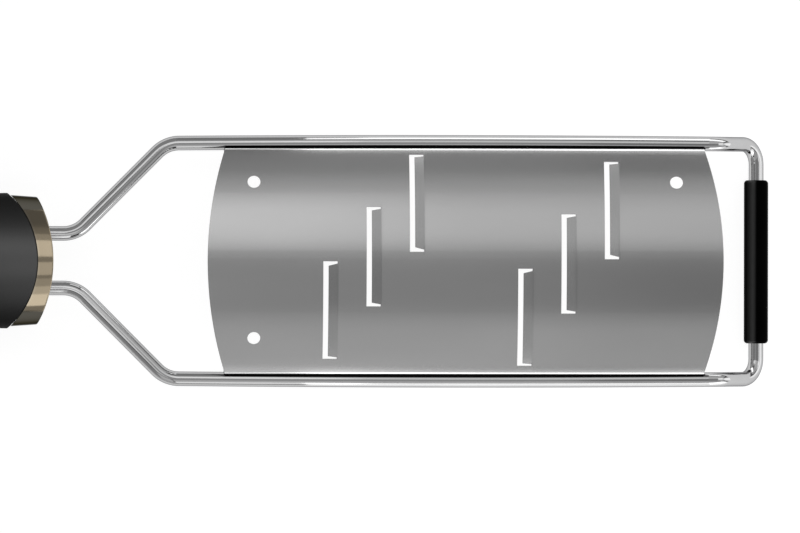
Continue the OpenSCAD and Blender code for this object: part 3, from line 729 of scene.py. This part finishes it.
def makeGrip():
    # rows along the handle and turns round it give an outer and an inner skin of ovals, joined at the lip,
    # and the cells of the hanging hole are left out of both
    tailX = handle["knotsX"][-1]
    reach = handle["holeRadius"] * handle["holeReach"]
    cells = handle["holeCells"]
    holeMarks = handle["holeX"] + np.linspace(-1, 1, cells + 1) * handle["holeRadius"]
    rows = dividedLines(np.concatenate(
        [[handle["gripTipX"], handle["gripTipX"] - 1.0, tailX], holeMarks,
         [handle["holeX"] - reach, handle["holeX"] + reach]]), handle["rowStep"])
    rows = rows[rows > handle["holeX"] - reach + hair]
    # the tail's last rows close in towards the tip
    lastTurn = np.arcsin((tailX - handle["holeX"] + reach) / handle["tailLength"])
    tailRows = tailX - handle["tailLength"] * np.sin(np.linspace(lastTurn, np.pi / 2, 12))
    rows = np.concatenate([rows[::-1], tailRows])

    # columns lie even across each hole's square, and even again over the sides
    holeTurn = np.arcsin(handle["holeRadius"] / gripHalf(np.array(handle["holeX"])))
    overHole = np.linspace(-holeTurn, holeTurn, cells + 1)
    side = np.linspace(holeTurn, np.pi - holeTurn, (handle["sides"] - 2 * cells) // 2 + 1)[1:-1]
    turns = np.pi / 2 + np.concatenate([overHole, side, np.pi + overHole, np.pi + side])
    x, turn = np.meshgrid(rows, turns, indexing="ij")

    # in front the rows follow the round edge and straighten out behind the lip
    centre = handle["gripTipX"] - handle["gripEdgeRadius"]
    half = gripHalf(x)
    y = half * np.cos(turn)
    setback = handle["gripEdgeRadius"] - np.sqrt(handle["gripEdgeRadius"] ** 2 - y ** 2)
    fade = np.clip((x - handle["knotsX"][1]) / (handle["gripTipX"] - handle["knotsX"][1]), 0, 1)
    x = x - setback * fade
    innerX = np.where(x < tailX, tailX - (tailX - x) * (1 - handle["wall"] / handle["tailLength"]), x)

    # the hanging hole: a ring of cells above and below is pulled to a circle seen from above
    aside = np.where(np.sin(turn) > 0, turn - np.pi / 2, turn - 1.5 * np.pi)
    aside = np.abs((aside + np.pi) % (2 * np.pi) - np.pi) * np.sign(np.cos(turn))
    pull, ringX, ringY = squareToRing((x - handle["holeX"]) / handle["holeRadius"], aside / holeTurn,
                                      handle["holeReach"])
    ringX, ringY = handle["holeX"] + ringX * handle["holeRadius"], ringY * handle["holeRadius"]
    upper = np.sign(np.sin(turn))

    def skin(skinX, inset):
        # the oval at each place, with the points round the hole moved over to its circle
        half = gripHalf(skinX, inset)
        y = half * np.cos(turn)
        z = half * np.sin(turn)
        pulledX, pulledY = skinX + (ringX - skinX) * pull, y + (ringY - y) * pull
        pulledZ = upper * np.sqrt(np.maximum(gripHalf(pulledX, inset) ** 2 - pulledY ** 2, 0))
        z = np.where(pull > 0, pulledZ, z)
        return np.stack([pulledX, pulledY, lineHeight + handle["oval"] * z], -1)

    faces = gridFaces(len(rows), len(turns), True)
    cellX = ((rows[1:] + rows[:-1]) / 2)[:, None]
    nextTurns = np.append(turns[1:], turns[0] + 2 * np.pi)
    cellTurn = ((turns + nextTurns) / 2)[None]
    inHole = (np.abs(cellX - handle["holeX"]) < handle["holeRadius"]) & (
        np.abs(np.cos(cellTurn)) < np.sin(holeTurn))
    faces = faces[~inHole.ravel()]
    points = np.stack([skin(x, 0.0), skin(innerX, handle["wall"])])
    piece = makePiece("gripSleeve", points, shellFaces(faces, x.size), "grip_sleeve",
                      creaseAngle=50)
    softenEdges(piece, width=handle["lipRound"], segments=4, angle=50)
    return piece


gripPiece = makeGrip()

gripRubber, tree, shader, coordinates = newMaterial("gripRubber")
setInputs(shader, Specular_IOR_Level=0.04, Coat_Roughness=0.42, Coat_IOR=2.0)
skin = useGroup(tree, mouldedSkin, Vector=coordinates, Pebble=3600.0, Cloud=70.0)
worn = useGroup(tree, edgeWear, From=0.52, To=0.6, Breakup=skin.outputs["Clouds"])
rubber = shadesOf(tree, skin.outputs["Clouds"], 0.35, 0.65, handle["rubber"], 0.85, 1.15)
rubber = mixColours(tree, mathNode(tree, "MULTIPLY", skin.outputs["Specks"], 0.3), rubber, handle["worn"])
tree.links.new(mixColours(tree, worn.outputs["Worn"], rubber, handle["worn"]), shader.inputs["Base Color"])
roughnessFrom(tree, shader, skin.outputs["Clouds"], handle["roughness"], 0.07)
# the sheen is strongest seen square on and fades at a slant, the other way round from a real coat, because
# that keeps the grip's sides as dark as in the photograph
slant = addNode(tree, "ShaderNodeLayerWeight")
square = mathNode(tree, "SUBTRACT", 1.0, slant.outputs["Facing"])
tree.links.new(mathNode(tree, "POWER", square, 6.0), shader.inputs["Coat Weight"])
bumpFrom(tree, shader, skin.outputs["Height"], 0.012)
gripPiece.data.materials.append(gripRubber)
print("grip made")


# Core: the two moulded halves keep their own solids

core = {"plastic": (0.012, 0.012, 0.012), "roughness": 0.45}
corePlastic, tree, shader, coordinates = newMaterial("corePlastic")
setInputs(shader, Specular_IOR_Level=0.4)
skin = useGroup(tree, mouldedSkin, Vector=coordinates, Pebble=2200.0, Cloud=60.0)
tree.links.new(mixColours(tree, skin.outputs["Specks"], core["plastic"], tuple(1.6 * c for c in core["plastic"])),
               shader.inputs["Base Color"])
roughnessFrom(tree, shader, skin.outputs["Clouds"], core["roughness"], 0.15)
bumpFrom(tree, shader, skin.outputs["Height"], 0.008)
for name in ("core_upper", "core_lower"):
    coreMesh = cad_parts[name].data
    coreMesh.materials.clear()
    coreMesh.materials.append(corePlastic)
print("core finished")


# Floor, light and camera: white surroundings from the floor and the world, and panels that shape the metal

studio = {
    "floorHalf": 3.0, "floorWhite": 0.9, "floorDiffuse": 0.22, "ambient": 0.05, "endsWhite": 0.7,
    # long panels round the middle line of the blade; their strengths were fitted to the tones in the photograph
    # and then listed: sideways angles from straight up, places along X, both from and to, and radiance
    "radius": 0.45, "middleHeight": 0.022,
    "panels": {
        "crownNear": (6, 30, -0.03, 0.06, 1.25),
        "crownFar": (6, 30, 0.06, 0.2, 0.87),
        "crownEdge": (30, 40, -0.03, 0.2, 0.55),
        "crownFade": (40, 52, -0.03, 0.13, 0.3),
        "crownFadeFar": (40, 52, 0.13, 0.2, 0.12),
        "gap": (-26, 6, -0.03, 0.13, 0.38),
        "gapFar": (-26, 6, 0.13, 0.2, 0.22),
        "side": (-52, -26, -0.03, 0.13, 0.63),
        "sideFar": (-52, -26, 0.13, 0.2, 0.52),
        "sideLow": (-76, -52, -0.03, 0.06, 1.2),
        "sideEdge": (-90, -76, -0.03, 0.2, 0.4),
        "railNear": (52, 90, -0.03, 0.06, 0.25),
        "railFar": (64, 90, 0.06, 0.2, 1.0),
        "handleCrown": (14, 34, -0.45, -0.03, 1.1),
        "handleFar": (34, 88, -0.45, -0.03, 0.3),
        "handleGap": (-6, 14, -0.45, -0.03, 0.2),
        "handleMiddle": (-22, -6, -0.45, -0.03, 0.85),
        "handleSide": (-72, -30, -0.45, -0.03, 0.3),
        "handleLow": (-88, -72, -0.45, -0.03, 0.6),
        "frontCrown": (6, 40, 0.2, 0.9, 0.62),
        "frontGap": (-26, 6, 0.2, 0.9, 0.26),
        "frontSide": (-64, -26, 0.2, 0.9, 0.48),
        "frontFar": (40, 80, 0.2, 0.9, 0.5),
        "frontLow": (-88, -64, 0.2, 0.9, 1.4),
    },
    # small panels close over the collar: sideways angles, radiance
    "nearRadius": 0.1, "nearX": (-0.047, -0.017),
    "nearPanels": {"collarMiddle": (-20, -2, 0.5), "collarSide": (-72, -37, 0.35)},
    # one panel across the front end: angles from straight up towards +X, width, radiance
    "endPanel": (54, 84, 0.5, 0.9),
    # upright cards beside the frame: place across, heights from and to, radiance
    "cardsX": (0.03, 0.25),
    "cards": {
        "upperCard": (0.1, 0.03, 0.07, 1.5),
        "lowerCard": (-0.1, 0.03, 0.07, 1.6),
        "lowerStrip": (-0.1, 0.002, 0.03, 0.75),
    },
}

floorMesh = bpy.data.meshes.new("floor")
h = studio["floorHalf"]
floorMesh.from_pydata([(-h, -h, 0), (h, -h, 0), (h, h, 0), (-h, h, 0)], [], [(0, 1, 2, 3)])
floor = bpy.data.objects.new("floor", floorMesh)
bpy.context.scene.collection.objects.link(floor)
paleFloor = bpy.data.materials.new("paleFloor")
paleFloor.use_nodes = True
tree = paleFloor.node_tree
tree.nodes.remove(tree.nodes["Principled BSDF"])
diffuse = setInputs(addNode(tree, "ShaderNodeBsdfDiffuse"), Color=(studio["floorDiffuse"],) * 3 + (1,))
glow = setInputs(addNode(tree, "ShaderNodeEmission"), Color=(1, 1, 1, 1))
rays = addNode(tree, "ShaderNodeLightPath")
seen = mathNode(tree, "MAXIMUM", rays.outputs["Is Camera Ray"],
                mathNode(tree, "MAXIMUM", rays.outputs["Is Glossy Ray"], rays.outputs["Is Transmission Ray"]))
tree.links.new(mathNode(tree, "MULTIPLY", seen, studio["floorWhite"]), glow.inputs["Strength"])
both = addNode(tree, "ShaderNodeAddShader")
tree.links.new(diffuse.outputs[0], both.inputs[0])
tree.links.new(glow.outputs[0], both.inputs[1])
tree.links.new(both.outputs[0], tree.nodes["Material Output"].inputs["Surface"])
floorMesh.materials.append(paleFloor)

world = bpy.data.worlds.new("studioWorld")
bpy.context.scene.world = world
world.use_nodes = True
tree = world.node_tree
background = tree.nodes["Background"]
background.inputs["Color"].default_value = (1, 1, 1, 1)
rays = addNode(tree, "ShaderNodeLightPath")
# the metal shows the white surroundings beyond both ends of the object, where no panel hangs
direction = addNode(tree, "ShaderNodeSeparateXYZ")
tree.links.new(addNode(tree, "ShaderNodeTexCoord").outputs["Generated"], direction.inputs[0])
beyondEnds = rangeNode(tree, mathNode(tree, "ABSOLUTE", direction.outputs["X"]), 0.86, 0.96, 0.0,
                       studio["endsWhite"], True)
shown = mathNode(tree, "MAXIMUM", rays.outputs["Is Camera Ray"],
                 mathNode(tree, "MULTIPLY", rays.outputs["Is Glossy Ray"], beyondEnds))
tree.links.new(mathNode(tree, "MAXIMUM", shown, studio["ambient"]), background.inputs["Strength"])


def softPanel(name, centre, aim, widthAxis, length, width, radiance):
    # a panel at the centre that faces the aim; its power is its radiance times pi times its area
    data = bpy.data.lights.new(name, "AREA")
    data.shape = "RECTANGLE"
    data.size, data.size_y = length, width
    data.energy = radiance * np.pi * length * width
    lamp = bpy.data.objects.new(name, data)
    bpy.context.scene.collection.objects.link(lamp)
    lamp.location = centre
    lamp.rotation_mode = "QUATERNION"
    lamp.rotation_quaternion = (Vector(aim) - Vector(centre)).to_track_quat("-Z", widthAxis)
    lamp.visible_camera = False


def archPanel(name, turns, radius, middleHeight, places, radiance):
    # a panel that touches the circle of that radius round a line along X, between two sideways angles
    a, b = np.radians(turns)
    middle, middleX = (a + b) / 2, sum(places) / 2
    centre = (middleX, radius * np.sin(middle), middleHeight + radius * np.cos(middle))
    softPanel(name, centre, (middleX, 0, middleHeight), "Y", places[1] - places[0],
              2 * radius * np.tan((b - a) / 2), radiance)


for name, (turnA, turnB, fromX, toX, radiance) in studio["panels"].items():
    archPanel(name, (turnA, turnB), studio["radius"], studio["middleHeight"], (fromX, toX), radiance)
for name, (turnA, turnB, radiance) in studio["nearPanels"].items():
    archPanel(name, (turnA, turnB), studio["nearRadius"], lineHeight * millimetre, studio["nearX"], radiance)
turnA, turnB, width, radiance = studio["endPanel"]
a, b = np.radians((turnA, turnB))
middle, endX = (a + b) / 2, wire["barX"] * millimetre
centre = (endX + studio["radius"] * np.sin(middle), 0, studio["radius"] * np.cos(middle))
softPanel("endPanel", centre, (endX, 0, 0), "X", width, 2 * studio["radius"] * np.tan((b - a) / 2), radiance)
for name, (across, low, high, radiance) in studio["cards"].items():
    middleX, middleZ = sum(studio["cardsX"]) / 2, (low + high) / 2
    softPanel(name, (middleX, across, middleZ), (middleX, 0, middleZ), "Y",
              studio["cardsX"][1] - studio["cardsX"][0], high - low, radiance)

# where the camera aims, how wide the picture is there and how far off it stands, and its turns in degrees
view = {
    "middle": (0.05375, -0.00147), "width": 0.22378, "distance": 6.0, "lean": -2.6, "roll": 0.09,
    "sensor": 36.0,
}
camera = bpy.data.objects.new("camera", bpy.data.cameras.new("camera"))
bpy.context.scene.collection.objects.link(camera)
camera.data.sensor_width = view["sensor"]
camera.data.clip_end = 50.0
camera.data.lens = view["sensor"] * view["distance"] / view["width"]
aim = Vector((*view["middle"], lineHeight * millimetre))
camera.rotation_mode = "XYZ"
camera.rotation_euler = (0, np.radians(view["lean"]), np.radians(view["roll"]))
camera.location = aim + camera.rotation_euler.to_matrix() @ Vector((0, 0, view["distance"]))
bpy.context.scene.camera = camera
bpy.context.scene.view_settings.view_transform = "Standard"
print("studio made")
